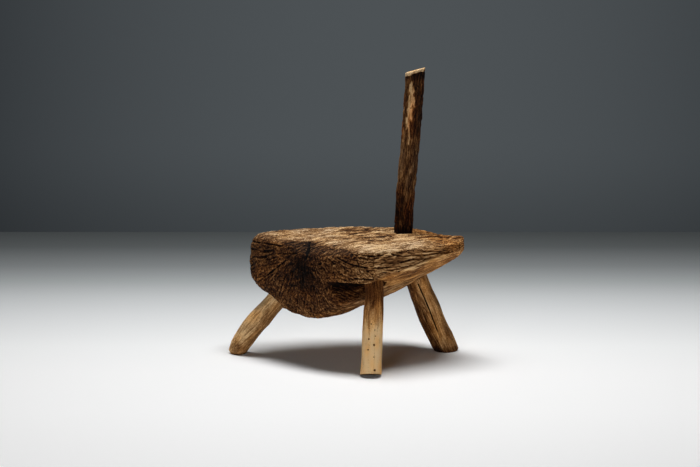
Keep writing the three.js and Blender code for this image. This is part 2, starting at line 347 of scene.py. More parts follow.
class Finish(Nodes):
    """A surface material."""

    def __init__(self, name, roughness, specular):
        self.material = bpy.data.materials.new(name)
        self.material.use_nodes = True
        super().__init__(self.material.node_tree)
        self.surface = self.tree.nodes["Principled BSDF"]
        self.surface.inputs["Roughness"].default_value = roughness
        self.surface.inputs["Specular IOR Level"].default_value = specular

    def paint(self, colour):
        self.tree.links.new(colour, self.surface.inputs["Base Color"])

    def relief(self, height, distance, strength):
        inputs = {"Height": height, "Distance": distance, "Strength": strength}
        bump = self.add("ShaderNodeBump", inputs, "Normal")
        self.tree.links.new(bump, self.surface.inputs["Normal"])


# Colours of bare wood and bark, from the darkest crack to freshly worn wood.
WOOD_TONES = (
    (0.0, srgb(8, 4, 2)),
    (0.2, srgb(37, 19, 8)),
    (0.4, srgb(80, 49, 24)),
    (0.6, srgb(128, 89, 51)),
    (0.8, srgb(180, 139, 92)),
    (1.0, srgb(232, 196, 146)),
)
WARM_TINT = (1.10, 0.88, 0.58, 1)
COOL_TINT = (0.90, 1.0, 1.25, 1)
WOOD_ROUGHNESS = 0.8
WOOD_SPECULAR = 0.08
# Scale, detail and roughness of the streaks along the grain and of the flecks.
STREAKS = (170.0, 5.0, 0.75)
FINE_STREAKS = (520.0, 4.0, 0.7)
FLECKS = (260.0, 4.0, 0.8)
FINE_GRIT = 0.5
GRIT_HEIGHT = 0.0012
GRIT_STRENGTH = 0.9


def wood_finish(name, grain_scale, warm_tint=WARM_TINT):
    """Wood whose tone, warmth, grit and flecks are marked on its vertices, with streaks along its grain."""
    finish = Finish(name, WOOD_ROUGHNESS, WOOD_SPECULAR)
    long_grain = finish.scaled(finish.vector("fibre"), grain_scale)
    place = finish.add("ShaderNodeNewGeometry", {}, "Position")
    streaks = finish.noise(long_grain, *STREAKS)
    fine = finish.noise(long_grain, *FINE_STREAKS)
    flecks = finish.noise(place, *FLECKS)
    shares = (finish.number("grit"), FINE_GRIT, finish.number("flecks"))
    tone = finish.number("tone")
    for texture, share in zip((streaks, fine, flecks), shares):
        change = finish.maths("MULTIPLY", finish.maths("SUBTRACT", texture, 0.5), share)
        tone = finish.maths("ADD", tone, change)
    colour = finish.ramp(tone, WOOD_TONES)
    warmth = finish.number("warmth")
    warm = finish.mix(1.0, colour, warm_tint, "MULTIPLY")
    cool = finish.mix(1.0, colour, COOL_TINT, "MULTIPLY")
    colour = finish.mix(finish.span(warmth, 0.5, 1.0), colour, warm)
    colour = finish.mix(finish.span(warmth, 0.5, 0.0), colour, cool)
    finish.paint(colour)
    height = finish.maths("ADD", finish.maths("ADD", fine, streaks), flecks)
    finish.relief(height, GRIT_HEIGHT, GRIT_STRENGTH)
    return finish.material


def finish_piece(piece, node, fibre, tone, warmth, grit, flecks, material):
    """Marks a piece for its material, and puts it in its node's place."""
    mark(piece, "fibre", fibre)
    mark(piece, "tone", tone)
    mark(piece, "warmth", np.clip(warmth, 0, 1))
    mark(piece, "grit", grit * np.ones(len(tone)))
    mark(piece, "flecks", flecks * np.ones(len(tone)))
    piece.data.materials.append(material)
    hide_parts(node)
    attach(piece, "root")


# Seat
SEAT_CELL = 0.00234
SEAT_RELAX = 10
SEAT_GRAIN = (1.0, 0.09, 1.0)
# The pith, across and up on the sawn end, and the distances from it at which new strands take over,
# which keeps them equally wide.
PITH = (0.025, 0.300)
PITH_RINGS = (0.035, 0.07, 0.14, 0.28)
PITH_WARP = 0.005

# Zones. Each pair of numbers says where a zone begins and where it is fully reached. For the flat top
# and the hewn underside it is how far up the surface faces, and for the sawn end how far ahead it lies.
# The near side, with its own cracks, lies left of LEFT_FROM and behind LEFT_BEHIND.
FLAT_FACING = (0.62, 0.92)
FLAT_HEIGHT = (TOP - 0.045, TOP - 0.025)
HEWN_FACING = (-0.25, -0.5)
END_FACING = np.array([0.292, -0.956, 0.0])
END_EDGE = (0.098, 0.118)
LEFT_FROM = 0.05
LEFT_BEHIND = (-0.1, -0.07)
# The notch under the left side: its floor and roof, its ends, and its inner and outer edge.
NOTCH_FLOOR = 0.170
LEDGE = 0.216
NOTCH_ENDS = (-0.135, 0.014)
NOTCH_ROUNDING = 0.004
NOTCH_INNER = (0.070, 0.080)
NOTCH_OUTER = (0.165, 0.150)
HOLLOW_HEIGHT = (LEDGE - 0.024, LEDGE - 0.008)

# Grain: how much the fibres of the sides draw together, over which stretch of the log, how far they
# dip away from the end, over which stretch, and how far they wind.
GRAIN_NARROWS = 0.62
GRAIN_NARROWS_ALONG = (-0.06, 0.26)
GRAIN_DIP = 0.024
GRAIN_DIPS_ALONG = (-0.115, -0.035)
GRAIN_WINDS = 0.0035

# The slope worn down round the pith: its right and left edges, where it begins, how far ahead it is
# fully worn, and between which heights it lies.
SLOPE_RIGHT = (-0.085, -0.035)
SLOPE_LEFT = (0.165, 0.115)
SLOPE_BEGINS = 0.058
SLOPE_LENGTH = 0.085
SLOPE_HEIGHT = (TOP - 0.075, TOP - 0.025)
SLOPE_POWER = 1.6
SLOPE_MOST = 1.3

# Cracks that are seen one by one: where they run, and their width and depth. Those of the end are
# given across and up, those of the side along and up, and those of the top across and along.
END_CRACKS = (
    ([(-0.044, 0.254), (-0.100, 0.214), (-0.152, 0.182)], 0.0028, 0.0045),
    ([(-0.110, 0.256), (-0.190, 0.246)], 0.0024, 0.003),
    ([(-0.095, 0.272), (-0.190, 0.265)], 0.0024, 0.003),
    ([(-0.060, 0.290), (-0.120, 0.288), (-0.180, 0.283)], 0.0028, 0.004),
    ([(-0.020, 0.276), (-0.075, 0.268)], 0.0024, 0.003),
    ([(0.000, 0.210), (-0.015, 0.150)], 0.0024, 0.002),
    ([(0.050, 0.294), (0.085, 0.284), (0.120, 0.272)], 0.0028, 0.003),
)
SIDE_CRACKS = (
    ([(-0.091, 0.2715), (-0.072, 0.2636), (-0.050, 0.2595)], 0.0030, 0.006),
    ([(-0.050, 0.2595), (-0.007, 0.259), (0.034, 0.266)], 0.0022, 0.003),
    ([(0.034, 0.266), (0.077, 0.275), (0.12, 0.280)], 0.0020, 0.0025),
    ([(-0.070, 0.292), (-0.040, 0.289), (-0.010, 0.291)], 0.0030, 0.005),
    ([(0.015, 0.290), (0.045, 0.288)], 0.0030, 0.004),
    ([(-0.075, 0.232), (-0.03, 0.228), (0.02, 0.234)], 0.0020, 0.003),
    ([(0.03, 0.245), (0.09, 0.262), (0.15, 0.279)], 0.0020, 0.003),
)
TOP_CRACKS = (
    ([(-0.006, 0.012), (0.027, 0.042), (0.045, 0.080)], 0.0045, 0.006),
    ([(0.095, 0.120), (0.092, 0.190)], 0.003, 0.004),
    ([(-0.060, -0.130), (-0.055, -0.060)], 0.003, 0.004),
)
# The cleft at the pith, from the worn rim down the end: places on the surface, width and depth.
CLEFT = (
    ([(-0.034, -0.108, 0.299), (-0.009, -0.124, 0.290)], 0.0035, 0.0025),
    ([(-0.009, -0.124, 0.290), (0.009, -0.137, 0.282), (0.018, -0.146, 0.269)], 0.0065, 0.0055),
    ([(0.018, -0.146, 0.269), (0.016, -0.149, 0.255), (0.019, -0.150, 0.234)], 0.0040, 0.0020),
    ([(0.010, -0.150, 0.240), (0.011, -0.151, 0.205)], 0.0035, 0.0015),
)
# Pits of the sawn end: across, up, radius and depth.
PITS = (
    (0.092, 0.266, 0.010, 0.0025),
    (0.074, 0.283, 0.005, 0.0025),
    (0.106, 0.246, 0.006, 0.0025),
    (0.060, 0.262, 0.005, 0.0025),
)

# The underside is worn up a little below the sawn end.
LOW_WEAR = 0.006
# Places where the log is fuller than its mean surface: place, reach, how far and which way.
FULLER = (
    ((-0.155, -0.190, 0.195), 0.095, 0.014, (-0.50, -0.65, -0.57)),
    ((0.085, 0.255, 0.298), 0.040, 0.009, (0.40, 0.80, 0.45)),
)
# The far rim of the top stands a little proud. The tail is cut off nearly square: of what lies past
# its end, seen from the camera, this share is taken away.
RIM_RISE = (-0.006, 0.0, 0.0049)
TAIL_END = 0.2725
TAIL_CUT_SHARE = 0.8
# The rim of the post's socket has closed in on the post.
SOCKET_RIM = 0.027
RIM_CLOSES = 0.0025
# A torn groove along the left side, just under the top, painted dark as painted shade.
DARK_BAND_HEIGHT = 0.2895
DARK_BAND_DEPTH = 0.0022
CHIP_DEPTH = 0.0025
LUMP_HEIGHT = 0.0012
# Across and along the top: a knot, and the rough wood round it.
KNOT = (0.005, 0.045)
ROUGH_PLACE = (-0.02, 0.05)

# Mean tones of the seat's zones.
TOP_TONE = 0.735
END_TONE = 0.305
SIDE_TONE = 0.615
HEWN_TONE = 0.71
# The notch's tone is low as painted shade.
NOTCH_TONE = 0.26
# Painted shade in fine and broad hollows, and painted highlight on ridges.
SEAT_HOLLOWS = ((0.0009, -0.8, 0.20), (0.0030, -0.7, 0.14))


def cut(plan, cracks, waver):
    """How deep named cracks cut in, in a plan view of the vertices; waver moves their edges about."""
    depth = np.zeros(len(plan))
    for path, width, most in cracks:
        distance = line_distance(plan, path) + waver
        depth = np.maximum(depth, most * smooth(width, width * 0.2, distance))
    return depth


def spokes(east, north, length, seed, spread):
    """Noise in strands that all point at the pith, as wide at the bark as near the pith."""
    turn = np.arctan2(north, east)
    reach = np.hypot(east, north)
    total = np.zeros(len(east))
    for ring in PITH_RINGS:
        share = smooth(1.0, 0.0, np.abs(np.log2((reach + 0.001) / ring)))
        around = np.stack([np.cos(turn) * ring, np.sin(turn) * ring, reach], axis=1)
        total += share * noise(around / [spread, spread, length], seed)
    return total


class Log:
    """The seat's vertices before they are worn: their places, zones, grain and marks."""

    def __init__(self, piece):
        self.co = places(piece)
        self.n = normals(piece)
        self.x, self.y, self.z = self.co.T
        self.ahead = self.co @ END_FACING
        self.find_zones()
        self.find_grain()
        self.find_wear(piece)
        self.find_end_marks()
        self.find_patches()

    def find_zones(self):
        """How much each vertex belongs to the flat top, the end, the notch, the underside and the side."""
        x, y, z = self.co.T
        facing_up = self.n[:, 2]
        ragged = noise(self.co / 0.012, 5)
        self.flat = smooth(*FLAT_FACING, facing_up + 0.10 * ragged) * smooth(*FLAT_HEIGHT, z)
        front_end, back_end = NOTCH_ENDS
        self.notch = (
            smooth(NOTCH_FLOOR - 0.012, NOTCH_FLOOR, z)
            * smooth(LEDGE + NOTCH_ROUNDING, LEDGE - 0.001, z)
            * smooth(front_end - NOTCH_ROUNDING, front_end + NOTCH_ROUNDING, y)
            * smooth(back_end + NOTCH_ROUNDING, back_end - NOTCH_ROUNDING, y)
            * smooth(*NOTCH_INNER, x)
            * smooth(*NOTCH_OUTER, x)
        )
        reached = self.ahead + 0.008 * ragged + 0.010 * noise(self.co / 0.04, 15)
        self.end = smooth(*END_EDGE, reached) * (1 - self.flat) * (1 - self.notch)
        self.hewn = smooth(*HEWN_FACING, facing_up) * (1 - self.end) * (1 - self.notch)
        self.side = np.clip(1 - self.flat - self.end - self.notch - self.hewn, 0, 1)
        self.on_left = (x > LEFT_FROM) * smooth(*LEFT_BEHIND, y)
        self.hollow = smooth(*HOLLOW_HEIGHT, z)

    def find_grain(self):
        """Fibres run along the log. On its sides they dip away from the end, and narrow to the tail."""
        x, y, z = self.co.T
        narrowing = 1 - GRAIN_NARROWS * smooth(*GRAIN_NARROWS_ALONG, y) * (1 - self.flat)
        dip = GRAIN_DIP * smooth(*GRAIN_DIPS_ALONG, y) * (1 - self.flat)
        self.fibre = np.stack([x, y, (TOP - z - dip) / narrowing], axis=1)
        warp = np.stack([noise(self.co / 0.03, seed) for seed in (41, 42, 43)], axis=1)
        self.bent = self.fibre + warp * [GRAIN_WINDS, 0, GRAIN_WINDS]
        self.east, self.north = (self.co[:, [0, 2]] - PITH + PITH_WARP * warp[:, :2]).T

    def along(self, across, length):
        """Places for noise whose marks are so wide across the fibres and so long along them."""
        return self.bent / [across, length, across]

    def find_wear(self, piece):
        """The slope worn down round the pith, and the sharp edges that are chipped."""
        self.wander = 0.012 * noise(self.co / 0.05, 91)
        across = self.x + self.wander
        self.round_pith = smooth(*SLOPE_RIGHT, across) * smooth(*SLOPE_LEFT, across)
        worn = np.clip((self.ahead - SLOPE_BEGINS + self.wander) / SLOPE_LENGTH, 0, SLOPE_MOST)
        self.slope = self.round_pith * worn ** SLOPE_POWER * smooth(*SLOPE_HEIGHT, self.z)
        sharp = np.clip(-sunk(piece, 60) / 0.0030, 0, 1)
        self.chipped = sharp * (0.4 + 0.6 * smooth(-0.3, 0.4, noise(self.co / 0.018, 92)))

    def find_end_marks(self):
        """On the sawn end: strands that point at the pith, a fan of open rays, and a crumbled place."""
        x, y, z = self.co.T
        self.patchy = smooth(-0.25, 0.35, noise(self.co / 0.035, 17))
        self.strands = spokes(self.east, self.north, 0.035, 1, 0.0055)
        rays = smooth(0.11, 0.0, np.abs(spokes(self.east, self.north, 0.06, 2, 0.010)))
        within = smooth(0.02, -0.03, x) * smooth(0.295, 0.286, z) * smooth(0.205, 0.240, z)
        self.fan = rays * within * (0.3 + 0.7 * self.patchy)
        self.pitted = smooth(0.02, 0.06, x) * smooth(0.20, 0.23, z)

    def find_patches(self):
        """Marks that several zones share: lines, fissures, crumbs, patches, the brown tail, the cleft."""
        co, along = self.co, self.along
        self.crumbs = layered(along(0.0065, 0.011), 21, 2)
        self.long_lines = np.maximum(
            lines(along(0.011, 0.17), 68, 0.11), 0.7 * lines(along(0.006, 0.10), 69, 0.12)
        )
        self.fissures = np.maximum(
            lines(along(0.024, 0.12), 66, 0.13), 0.8 * lines(along(0.012, 0.06), 67, 0.12)
        )
        self.patches = layered(co / 0.045, 61, 3)
        self.small = layered(along(0.012, 0.03), 63, 2)
        self.bands = layered(along(0.008, 0.11), 64, 2)
        self.blotches = layered(along(0.018, 0.07), 65, 2)
        self.brown_tail = smooth(0.10, 0.19, self.y)
        from_rough = np.hypot(0.8 * (self.x - ROUGH_PLACE[0]), self.y - ROUGH_PLACE[1])
        self.rough = np.maximum(smooth(0.12, 0.05, from_rough), self.brown_tail)
        self.waver = 0.0022 * noise(co / 0.009, 44)
        from_cleft = np.min([line_distance(co, path) for path, width, depth in CLEFT], axis=0)
        self.in_cleft = smooth(0.016, 0.003, from_cleft + self.waver)
        # Painted shade: the torn groove under the top is painted dark.
        from_band = np.abs(self.z - DARK_BAND_HEIGHT + 0.004 * noise(co / 0.03, 93))
        torn = smooth(-0.1, 0.3, noise(along(0.007, 0.012), 94))
        self.shaded_groove = self.on_left * smooth(0.011, 0.003, from_band) * smooth(0.10, 0.05, self.y) * torn

    def blend(self, side, flat, end, hewn, notch):
        """One value for each vertex, from those that it has in each zone."""
        shares = (self.side, self.flat, self.end, self.hewn, self.notch)
        return sum(share * value for share, value in zip(shares, (side, flat, end, hewn, notch)))


def side_relief(log):
    """Grooves, steps and lines along the fibres, and splinters where the wood crumbles."""
    grooves = lines(log.along(0.017, 0.15), 1, 0.20) * log.patchy
    fine_grooves = lines(log.along(0.008, 0.09), 2, 0.30)
    steps = flakes(log.along(0.022, 0.17), 3, 4)
    fibres = layered(log.along(0.005, 0.08), 24, 2)
    near_top = 0.8 * smooth(TOP - 0.035, TOP - 0.01, log.z)
    crumbled = smooth(-0.05, 0.35, noise(log.co / 0.05, 18) + near_top - 0.45)
    splinters = smooth(-0.1, 0.5, layered(log.along(0.006, 0.070), 28, 2)) * crumbled
    return (
        -0.0030 * grooves
        - 0.0014 * fine_grooves
        + 0.0034 * steps
        - 0.0012 * log.long_lines
        + 0.0004 * fibres
        - 0.0018 * splinters
    )


def top_relief(log):
    """Fissures and grooves along the fibres, low steps, and crumbs between the grooved patches."""
    grooves = lines(log.along(0.024, 0.18), 6, 0.14) * log.patchy
    fine_grooves = lines(log.along(0.009, 0.06), 7, 0.25)
    steps = flakes(log.along(0.030, 0.08), 8, 4)
    grains = layered(log.along(0.005, 0.013), 25, 2)
    crumbled = smooth(-0.1, 0.5, log.crumbs) * (1 - log.patchy)
    return (
        -0.0014 * log.fissures
        - 0.0018 * grooves
        - 0.0012 * fine_grooves
        + 0.0018 * steps
        + 0.0008 * grains
        - 0.0014 * crumbled
    )


def end_relief(log):
    """Strands and short nicks that point at the pith, open rays, and crumbs, most of them upper left."""
    swells = layered(log.co / 0.022, 23, 2)
    open_strands = smooth(-0.1, 0.5, log.strands) * (0.35 + 0.65 * log.patchy)
    nicks = smooth(0.1, 0.5, spokes(log.east, log.north, 0.012, 4, 0.006))
    crumbled = smooth(0.15, 0.6, log.crumbs) * (0.3 + 0.7 * log.pitted)
    grains = noise(log.co / 0.005, 27)
    return (
        0.0020 * swells
        - 0.0022 * open_strands
        - 0.0018 * nicks
        - 0.0016 * log.fan
        - 0.0028 * crumbled
        + 0.0006 * grains
    )


def hewn_relief(log):
    """Shallow adze marks, with grooves and fibres along the log."""
    adze_marks = noise(log.co / [0.06, 0.04, 0.06], 31)
    grooves = lines(log.along(0.011, 0.09), 32, 0.25)
    fibres = layered(log.along(0.006, 0.03), 26, 2)
    return 0.0020 * adze_marks - 0.0012 * grooves + 0.0006 * fibres


def notch_relief(log):
    """A hollow under the ledge, and torn layers."""
    torn = flakes(log.fibre / [0.012, 0.15, 0.009], 33, 3)
    grooves = lines(log.along(0.007, 0.12), 34, 0.3)
    return -0.0055 * log.hollow + 0.0028 * torn - 0.0015 * grooves


def seat_cracks(log):
    """How deep the cracks, the cleft and the pits that are seen one by one cut in."""
    broken = 0.4 + 0.6 * smooth(-0.4, 0.2, noise(log.co / 0.022, 46))
    cracks = broken * (
        log.end * cut(log.co[:, [0, 2]], END_CRACKS, log.waver)
        + (1 - log.flat) * log.on_left * cut(log.co[:, [1, 2]], SIDE_CRACKS, log.waver)
        + log.flat * cut(log.co[:, [0, 1]], TOP_CRACKS, log.waver)
    )
    cracks = np.maximum(cracks, cut(log.co, CLEFT, 1.3 * log.waver))
    for across, up, radius, deep in PITS:
        away = np.hypot(log.x - across, log.z - up) + 2.5 * log.waver
        cracks += deep * smooth(radius, radius * 0.3, away) * (log.y < 0)
    return cracks


def worn_places(log, cracks):
    """Where each vertex of the seat is once it is worn."""
    lumps = LUMP_HEIGHT * layered(log.co / 0.06, 11, 2)
    depth = lumps - cracks - CHIP_DEPTH * log.chipped - DARK_BAND_DEPTH * log.shaded_groove
    depth = depth + log.blend(
        side_relief(log), top_relief(log), end_relief(log), hewn_relief(log), notch_relief(log)
    )
    moved = log.co + log.n * depth[:, None]
    for place, reach, far, way in FULLER:
        nearby = smooth(reach, 0.1 * reach, np.linalg.norm(log.co - place, axis=1))
        moved += far * nearby[:, None] * way
    into_view = log.co @ np.array(plan_direction(1, 0)) + 0.3 * np.maximum(-log.y, 0)
    far_rim = smooth(0.09, 0.15, into_view) * smooth(TOP - 0.05, TOP - 0.01, log.z)
    moved += far_rim[:, None] * RIM_RISE
    rightward = np.array(plan_direction(0, 1))
    past_end = np.maximum(moved @ rightward - TAIL_END, 0)
    moved -= TAIL_CUT_SHARE * past_end[:, None] * rightward
    moved += socket_closing(log)
    low_edge = smooth(SEAT_LOW.z + 0.022, SEAT_LOW.z, log.z) * smooth(0.05, 0.10, log.ahead)
    moved[:, 2] += LOW_WEAR * low_edge
    return moved


def socket_closing(log):
    """The step that each vertex of the socket's rim has taken towards the post."""
    middle, axis = long_axis(np.array([v.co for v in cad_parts["back_post"].data.vertices]))
    from_post = log.co - (middle + axis * (TOP - middle[2]) / axis[2])
    from_post[:, 2] = 0
    reach = np.linalg.norm(from_post, axis=1)
    rim = smooth(SOCKET_RIM + 0.008, SOCKET_RIM, reach) * smooth(TOP - 0.014, TOP - 0.005, log.z)
    return -(RIM_CLOSES * rim / np.maximum(reach, 0.001))[:, None] * from_post


def top_tone(log):
    """Pale at its left edge, darker at the knot, the tail and the end's rim, and darkest where worn down."""
    x, y, z = log.co.T
    pale_edge = smooth(0.03, 0.10, x) * smooth(0.16, 0.06, y) * smooth(-0.08, -0.03, y)
    rim = smooth(0.104, 0.130, log.ahead + 0.4 * log.wander)
    dark_rim = rim * smooth(-0.185, -0.165, x) * (1 - log.round_pith)
    knot = smooth(0.085, 0.03, np.hypot(x - KNOT[0], y - KNOT[1]))
    right_corner = smooth(0.0, -0.08, x) * smooth(0.05, -0.05, y)
    worn = np.minimum(3 * log.slope, 1)
    tone = TOP_TONE + 0.11 * log.patches + 0.06 * log.blotches + 0.10 * log.small
    tone += 0.05 * pale_edge - 0.12 * knot - 0.12 * log.brown_tail - 0.28 * worn
    tone -= 0.04 * right_corner + (0.18 + 0.22 * log.rough) * log.fissures
    return tone - 0.24 * dark_rim - 0.04 * smooth(0.19, 0.25, y)


def end_tone(log):
    """Dark, with darker strands and rays, and a paler lower left."""
    lower_left = smooth(0.17, 0.13, log.z) * smooth(-0.06, 0.02, log.x)
    tone = END_TONE - 0.05 * smooth(0.0, 0.45, log.strands) - 0.12 * log.fan + 0.14 * log.patches
    return tone + 0.10 * log.small + 0.04 * log.pitted + 0.12 * lower_left


def side_tone(log):
    """Bands and dark lines along the fibres, darker towards the end."""
    near_end = smooth(-0.02, -0.07, log.y)
    tone = SIDE_TONE + 0.12 * log.patches + 0.20 * log.bands
    return tone - 0.28 * log.long_lines - 0.08 * near_end


def hewn_tone(log):
    """Bands along the fibres, darker towards the end, and painted shade where the log faces straight down."""
    near_end = smooth(0.03, -0.05, log.y)
    painted_underside_shade = smooth(-0.6, -0.9, log.n[:, 2])
    return HEWN_TONE + 0.15 * log.patches + 0.30 * log.bands - 0.10 * near_end - 0.12 * painted_underside_shade


def notch_tone(log):
    """Painted shade: dark, and darkest under the ledge."""
    return NOTCH_TONE + 0.10 * log.patches + 0.14 * log.bands - 0.12 * log.hollow


def seat_tone(piece, log, cracks):
    """The tone of each vertex: that of its zone, with painted shade in hollows and cracks and a painted
    highlight on ridges.
    """
    tone = log.blend(side_tone(log), top_tone(log), end_tone(log), hewn_tone(log), notch_tone(log))
    dark_core = (
        smooth(0.070, 0.02, np.abs(log.x - 0.010))
        * smooth(0.17, 0.20, log.z)
        * smooth(0.070, 0.105, log.ahead)
    )
    tail_tip = smooth(0.225, 0.252, log.y)
    # Painted shade in hollows, cracks, the cleft and pits, and a painted highlight on ridges.
    tone -= painted_hollow_shade(piece, SEAT_HOLLOWS) + 0.4 * smooth(0.001, 0.004, cracks)
    # Painted shade in the cleft and in the torn groove under the top; the tail tip and a place by the pith
    # are darker.
    return tone - 0.12 * tail_tip - 0.15 * dark_core - 0.13 * log.in_cleft - 0.25 * log.shaded_groove


def seat_warmth(log):
    """Greyish on the smooth parts of the top, and brown below and at the tail."""
    smooth_top = log.flat * (1 - 0.7 * log.rough)
    brown_tail = log.brown_tail * (1 - 0.6 * log.hewn)
    warmth = 0.55 - 0.30 * smooth_top + 0.25 * log.hewn + 0.12 * log.end + 0.22 * log.notch
    # Painted shade: the cleft is made cooler.
    return warmth + 0.45 * brown_tail - 0.3 * log.in_cleft + 0.25 * layered(log.co / 0.05, 71, 2)


def build_seat():
    piece = fine_copy("seat_block", "worn_seat", SEAT_CELL, SEAT_RELAX)
    log = Log(piece)
    cracks = seat_cracks(log)
    move(piece, worn_places(log, cracks))
    tone = seat_tone(piece, log, cracks)
    warmth = seat_warmth(log)
    grit = 1.5 + 0.2 * log.flat + 0.3 * log.hewn - 0.1 * log.end
    flecks = 0.9 + 0.8 * log.flat + 0.4 * log.end - 0.72 * log.side - 0.6 * log.hewn
    material = wood_finish("Log wood", SEAT_GRAIN)
    finish_piece(piece, "seat_block", log.fibre, tone, warmth, grit, flecks, material)


# Sticks
STICK_CELL = 0.0013
STICK_RELAX = 14
STICK_GRAIN = (1.0, 1.0, 0.06)
PROFILE_STEP = 0.004
HOLE_DEPTH = 0.003
# Painted shade in fine and broad hollows, and painted highlight on ridges.
LEG_HOLLOWS = ((0.0006, -0.6, 0.14), (0.0020, -0.6, 0.10))
LEG_FLECKS = 0.7


def stick(node, name):
    """A fine copy of a stick, and each vertex's place in its grain: two lengths across and one along."""
    piece = fine_copy(node, name, STICK_CELL, STICK_RELAX)
    co = places(piece)
    middle, axis = long_axis(co)
    axis *= np.sign(axis[2])
    across = np.cross([0, 1, 0], axis)
    across /= np.linalg.norm(across)
    other = np.cross(axis, across)
    grain = (co - middle) @ np.stack([across, other, axis], axis=1)
    return piece, grain


def sized(grain, across, length):
    """Places for noise whose marks are so wide across a stick and so long along it."""
    return grain / [across, across, length]


def reshape(piece, profile):
    """Shifts and thins a stick seen from the front left, as its height asks: (height, shift, width) rows."""
    co = places(piece)
    heights, shifts, widths = np.array(profile).T
    sideways = co @ LEFTWARD
    level = co[:, 2]
    bands = np.round((level - level.min()) / PROFILE_STEP).astype(int)
    lowest = np.full(bands.max() + 1, np.inf)
    highest = -lowest
    np.minimum.at(lowest, bands, sideways)
    np.maximum.at(highest, bands, sideways)
    middle = ((lowest + highest) / 2)[bands]
    wider = np.interp(level, heights, widths) - 1
    change = np.interp(level, heights, shifts) + (sideways - middle) * wider
    move(piece, co + change[:, None] * LEFTWARD)


def wear_leg(piece, grain, seed, cracks, holes):
    """Works drying cracks, worm holes and knife marks into a leg; returns how deep each vertex is in one."""
    co = places(piece)
    waver = 0.0006 * noise(sized(grain, 0.006, 0.02), seed + 9)
    opened = np.zeros(len(co))
    for path, width, deep in cracks:
        opened = np.maximum(opened, deep * smooth(width, width * 0.3, line_distance(co, path) + waver))
    for place, radius in holes:
        away = np.linalg.norm(co - place, axis=1) + 2 * waver
        opened = np.maximum(opened, HOLE_DEPTH * smooth(radius, radius * 0.4, away))
    swells = noise(sized(grain, 0.03, 0.05), seed)
    knife_marks = flakes(sized(grain, 0.016, 0.08), seed + 3, 3)
    fibres = noise(sized(grain, 0.005, 0.05), seed + 1)
    thin_cracks = lines(sized(grain, 0.014, 0.12), seed + 2, 0.06)
    depth = 0.0014 * swells + 0.0012 * knife_marks + 0.0004 * fibres - 0.0012 * thin_cracks - opened
    moved = co + normals(piece) * depth[:, None]
    moved[:, 2] = np.maximum(moved[:, 2], 0)
    move(piece, moved)
    return opened


def leg_tone(piece, grain, seed, opened):
    """How far each vertex departs from its leg's tone: patches, painted shade in hollows, cracks and holes
    and on the underside, and a painted highlight on ridges.
    """
    patches = layered(sized(grain, 0.02, 0.06), seed + 5, 3)
    small = layered(sized(grain, 0.004, 0.02), seed + 6, 2)
    shade_underneath = smooth(0.05, -0.35, normals(piece)[:, 2])
    tone = 0.14 * patches + 0.10 * small - painted_hollow_shade(piece, LEG_HOLLOWS)
    # Painted shade in cracks and holes, and on the underside of the leg.
    return tone - 0.55 * smooth(0.0006, 0.0025, opened) - 0.16 * shade_underneath


# The near leg. A hole has a place and a radius; a crack runs through places, and has a width and depth.
NEAR_LEG_HOLES = (
    ((0.174, -0.056, 0.115), 0.0030),
    ((0.180, -0.060, 0.091), 0.0036),
    ((0.184, -0.044, 0.112), 0.0026),
    ((0.193, -0.051, 0.078), 0.0036),
    ((0.170, -0.069, 0.075), 0.0024),
    ((0.208, -0.057, 0.020), 0.0038),
    ((0.178, -0.060, 0.102), 0.0026),
    ((0.188, -0.045, 0.098), 0.0024),
    ((0.184, -0.063, 0.066), 0.0028),
    ((0.191, -0.052, 0.088), 0.0024),
    ((0.176, -0.050, 0.126), 0.0022),
    ((0.199, -0.055, 0.050), 0.0024),
)
NEAR_LEG_CRACKS = (
    ([(0.163, -0.050, 0.150), (0.176, -0.060, 0.105), (0.186, -0.066, 0.060)], 0.0018, 0.0012),
    ([(0.178, -0.040, 0.135), (0.190, -0.048, 0.090), (0.204, -0.056, 0.030)], 0.0018, 0.0012),
)
NEAR_LEG_PROFILE = (
    (0.0, 0.0, 0.97),
    (0.10, 0.0, 0.96),
    (0.15, -0.001, 0.94),
    (0.19, -0.004, 0.87),
    (0.23, 0.0, 1.0),
)
NEAR_LEG_TONE = 1.08
NEAR_LEG_GRIT = 0.8
# How much darker the upper leg is: partly stain, partly the seat's shadow painted on.
STAIN_AND_PAINTED_SHADOW = 0.68
# The foot's front edge is worn up from the floor.
UNDERCUT_HIGH = 0.012
UNDERCUT_SLOPE = 0.35
# Painted shade on the underside of the worn-up edge.
UNDERCUT_PAINTED_SHADE = 0.55


